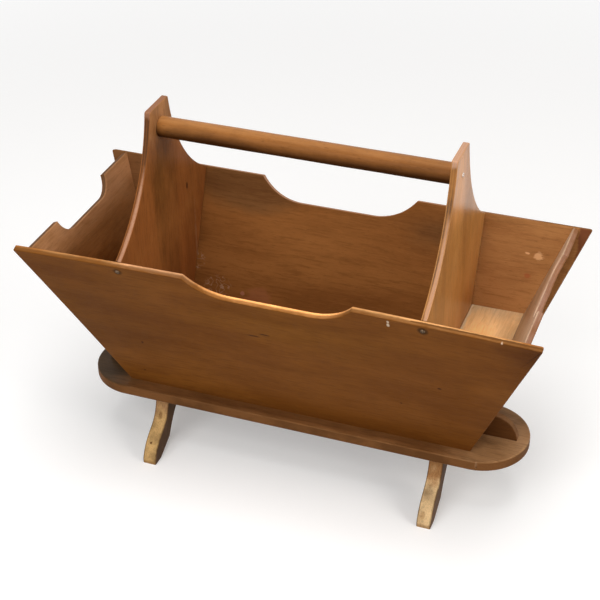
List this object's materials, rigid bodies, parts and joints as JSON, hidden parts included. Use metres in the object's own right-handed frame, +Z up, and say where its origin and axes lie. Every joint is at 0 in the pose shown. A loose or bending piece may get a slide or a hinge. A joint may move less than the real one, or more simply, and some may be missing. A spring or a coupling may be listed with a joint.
{
  "type": "magazine basket",
  "caption": "Carrying rack for magazines: a plywood trough with flared sides, upright dividers with a dowel handle between them, a plinth with round ends and bracket feet.",
  "frame": {"origin": "on the ground, in the middle of the footprint, midway between the two feet", "axes": "+X along the trough's length to the right end panel, +Y across it to the back panel, +Z up"},
  "size_m": [0.5084, 0.218, 0.3786],
  "materials": {
    "stained_plywood": "brown stained plywood under worn satin varnish, grain along the board",
    "divider_plywood": "lighter stained plywood with upright grain, worn satin varnish",
    "plinth_wood": "brown stained board, rubbed paler along its eased edge",
    "handle_wood": "turned dowel, honey brown varnish, dark with handling below",
    "pale_wood": "unfinished pale wood",
    "foot_wood": "raw tan wood with uneven stain near the top",
    "aged_steel": "dulled steel screws and pins"
  },
  "bodies": {
    "root": {"plinth": "plinth_wood", "bottom_board": "pale_wood", "front_panel": "stained_plywood", "back_panel": "stained_plywood", "left_end_panel": "stained_plywood", "right_end_panel": "stained_plywood", "left_divider": "divider_plywood", "right_divider": "divider_plywood", "handle": "handle_wood", "left_compartment_floor": "pale_wood", "right_compartment_floor": "pale_wood", "left_web": "plinth_wood", "right_web": "plinth_wood", "left_foot": "foot_wood", "right_foot": "foot_wood", "bottom_pin_back_1": "aged_steel", "bottom_pin_back_2": "aged_steel", "bottom_pin_back_3": "aged_steel", "bottom_pin_front_1": "aged_steel", "bottom_pin_front_2": "aged_steel", "bottom_pin_front_3": "aged_steel", "divider_screw_back_left": "aged_steel", "divider_screw_back_right": "aged_steel", "divider_screw_front_left": "aged_steel", "divider_screw_front_right": "aged_steel", "end_pin_back_left_lower": "aged_steel", "end_pin_back_left_upper": "aged_steel", "end_pin_back_right_lower": "aged_steel", "end_pin_back_right_upper": "aged_steel", "end_pin_front_left_lower": "aged_steel", "end_pin_front_left_upper": "aged_steel", "end_pin_front_right_lower": "aged_steel", "end_pin_front_right_upper": "aged_steel", "foot_screw_back_left": "aged_steel", "foot_screw_back_right": "aged_steel", "foot_screw_front_left": "aged_steel", "foot_screw_front_right": "aged_steel", "handle_screw_left": "aged_steel", "handle_screw_right": "aged_steel", "plinth_screw_back_left": "aged_steel", "plinth_screw_back_right": "aged_steel", "plinth_screw_front_left": "aged_steel", "plinth_screw_front_right": "aged_steel"}
  },
  "joints": []
}
